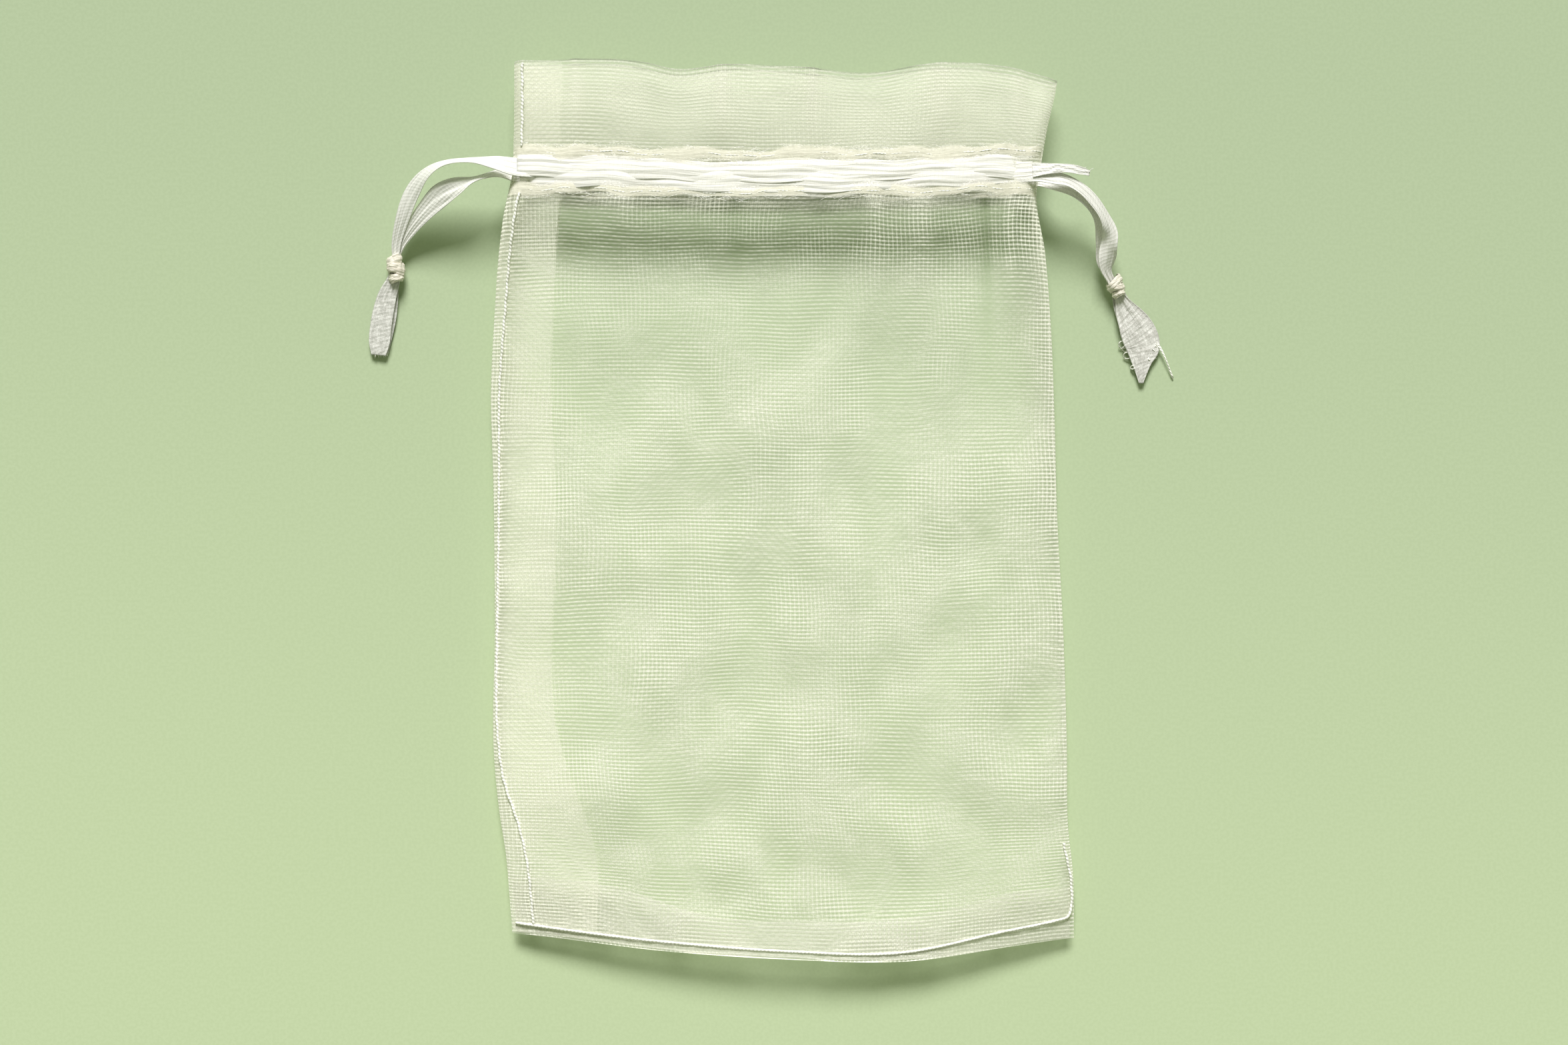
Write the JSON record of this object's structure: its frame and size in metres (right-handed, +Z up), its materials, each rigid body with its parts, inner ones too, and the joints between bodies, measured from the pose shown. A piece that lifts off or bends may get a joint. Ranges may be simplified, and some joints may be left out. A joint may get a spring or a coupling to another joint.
{
  "type": "drawstring gift pouch",
  "caption": "Sheer flat gift pouch with a side seam, a turned-down header, a stitched casing and two looped ribbon drawstrings that knot at opposite sides.",
  "frame": {"origin": "on the surface that the pouch lies on, under the middle of the cloth", "axes": "+X across the pouch, from the seamed side to the folded side; +Y along it, towards the mouth; +Z up, out of the front cloth"},
  "size_m": [0.1311, 0.15, 0.0109],
  "materials": {
    "organza": "sheer plain-weave organza with shiny cream threads",
    "seam_thread": "matt twisted sewing thread",
    "satin_ribbon": "satin ribbon with a lengthwise sheen"
  },
  "bodies": {
    "cloth": {"back_panel": "organza", "front_panel": "organza", "bottom_seam_allowance": "organza", "bottom_seam_stitches": "seam_thread", "back_casing_outer": "organza", "back_casing_facing": "organza", "front_casing_outer": "organza", "front_casing_facing": "organza", "back_header": "organza", "front_header": "organza", "back_upper_stitches": "seam_thread", "back_lower_stitches": "seam_thread", "front_upper_stitches": "seam_thread", "front_lower_stitches": "seam_thread"},
    "left_side": {"side_seam_allowance": "organza", "side_seam_stitches": "seam_thread", "header_seam_allowance": "organza"},
    "right_side": {"side_fold": "organza", "corner_return_stitches": "seam_thread", "header_fold": "organza"},
    "left_drawstring": {"left_ribbon": "satin_ribbon"},
    "right_drawstring": {"right_ribbon": "satin_ribbon"},
    "left_end": {"left_front_end": "satin_ribbon", "left_back_end": "satin_ribbon", "left_knot": "satin_ribbon"},
    "right_end": {"right_front_end": "satin_ribbon", "right_back_end": "satin_ribbon", "right_knot": "satin_ribbon"}
  },
  "joints": [
    {"name": "left_pull", "type": "slide", "parent": "cloth", "child": "left_drawstring", "axis": [-1, 0, 0], "range_m": [0, 0.03], "deforming": ["back_panel", "front_panel", "back_casing_outer", "back_casing_facing", "front_casing_outer", "front_casing_facing", "back_header", "front_header", "back_upper_stitches", "back_lower_stitches", "front_upper_stitches", "front_lower_stitches"]},
    {"name": "right_pull", "type": "slide", "parent": "cloth", "child": "right_drawstring", "axis": [1, 0, 0], "range_m": [0, 0.03]},
    {"name": "left_side_gather", "type": "hinge", "parent": "cloth", "child": "left_side", "pos_m": [-0.032, -0.075, 0.004], "axis": [0, 0, -1], "range_deg": [0, 13.1]},
    {"name": "right_side_gather", "type": "hinge", "parent": "cloth", "child": "right_side", "pos_m": [0.032, -0.075, 0.004], "axis": [0, 0, 1], "range_deg": [0, 13.1]},
    {"name": "left_end_swing", "type": "hinge", "parent": "left_drawstring", "child": "left_end", "pos_m": [-0.0475, 0.0579, 0.0058], "axis": [0, 0, 1], "range_deg": [-60, 25]},
    {"name": "right_end_swing", "type": "hinge", "parent": "right_drawstring", "child": "right_end", "pos_m": [0.0475, 0.0547, 0.0058], "axis": [0, 0, -1], "range_deg": [-60, 15]}
  ],
  "couplings": [
    {"joint": "right_pull", "follows": "left_pull", "ratio": 1},
    {"joint": "left_side_gather", "follows": "left_pull", "rad_per_m": 7.592},
    {"joint": "right_side_gather", "follows": "left_pull", "rad_per_m": 7.592}
  ]
}
